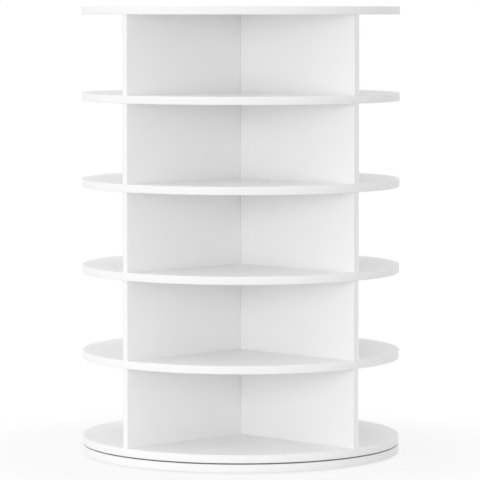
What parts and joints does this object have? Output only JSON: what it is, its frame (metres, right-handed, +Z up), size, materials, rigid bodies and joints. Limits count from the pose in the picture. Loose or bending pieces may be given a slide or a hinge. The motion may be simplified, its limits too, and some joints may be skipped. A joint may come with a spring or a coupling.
{
  "type": "rotating shoe tower",
  "caption": "Round shoe tower that turns on a ball bearing: stacked round shelves on crossed boards, open quarter-circle bays all round, low fixed base.",
  "frame": {"origin": "on the floor, under the axis that the tower turns about", "axes": "+Z up along the turning axis; the crossed boards lie along X and Y, so the bays open towards the four diagonals; the picture looks in from +X and -Y"},
  "size_m": [0.6, 0.6, 0.8455],
  "materials": {
    "white_board": "white satin laminate on chipboard",
    "ring_aluminium": "satin, turned",
    "ball_steel": "polished balls in a thin strip",
    "zinc_steel": "zinc plated",
    "foot_rubber": "matt"
  },
  "bodies": {
    "base": {"base_board": "white_board", "foot_pad_1": "foot_rubber", "foot_pad_2": "foot_rubber", "foot_pad_3": "foot_rubber", "foot_pad_4": "foot_rubber", "foot_pad_5": "foot_rubber", "foot_pad_6": "foot_rubber", "bearing_lower_ring": "ring_aluminium", "lower_ring_screw_1": "zinc_steel", "lower_ring_screw_2": "zinc_steel", "lower_ring_screw_3": "zinc_steel", "lower_ring_screw_4": "zinc_steel"},
    "cage": {"ball_cage": "ball_steel"},
    "tower": {"bearing_upper_ring": "ring_aluminium", "upper_ring_screw_1": "zinc_steel", "upper_ring_screw_2": "zinc_steel", "upper_ring_screw_3": "zinc_steel", "upper_ring_screw_4": "zinc_steel", "turntable_board": "white_board", "turntable_bolt_1": "zinc_steel", "turntable_bolt_2": "zinc_steel", "turntable_bolt_3": "zinc_steel", "turntable_bolt_4": "zinc_steel", "tier_1_divider_x": "white_board", "tier_1_divider_y": "white_board", "shelf_1": "white_board", "shelf_1_bolt_1": "zinc_steel", "shelf_1_bolt_2": "zinc_steel", "shelf_1_bolt_3": "zinc_steel", "shelf_1_bolt_4": "zinc_steel", "tier_2_divider_x": "white_board", "tier_2_divider_y": "white_board", "shelf_2": "white_board", "shelf_2_bolt_1": "zinc_steel", "shelf_2_bolt_2": "zinc_steel", "shelf_2_bolt_3": "zinc_steel", "shelf_2_bolt_4": "zinc_steel", "tier_3_divider_x": "white_board", "tier_3_divider_y": "white_board", "shelf_3": "white_board", "shelf_3_bolt_1": "zinc_steel", "shelf_3_bolt_2": "zinc_steel", "shelf_3_bolt_3": "zinc_steel", "shelf_3_bolt_4": "zinc_steel", "tier_4_divider_x": "white_board", "tier_4_divider_y": "white_board", "shelf_4": "white_board", "shelf_4_bolt_1": "zinc_steel", "shelf_4_bolt_2": "zinc_steel", "shelf_4_bolt_3": "zinc_steel", "shelf_4_bolt_4": "zinc_steel", "tier_5_divider_x": "white_board", "tier_5_divider_y": "white_board", "top_board": "white_board", "top_bolt_1": "zinc_steel", "top_bolt_2": "zinc_steel", "top_bolt_3": "zinc_steel", "top_bolt_4": "zinc_steel"}
  },
  "joints": [
    {"name": "tower_spin", "type": "hinge", "parent": "base", "child": "tower", "pos_m": [0, 0, 0.02255], "axis": [0, 0, 1], "continuous": true},
    {"name": "cage_spin", "type": "hinge", "parent": "base", "child": "cage", "pos_m": [0, 0, 0.02255], "axis": [0, 0, 1], "continuous": true}
  ],
  "couplings": [
    {"joint": "cage_spin", "follows": "tower_spin", "ratio": 0.5114}
  ]
}
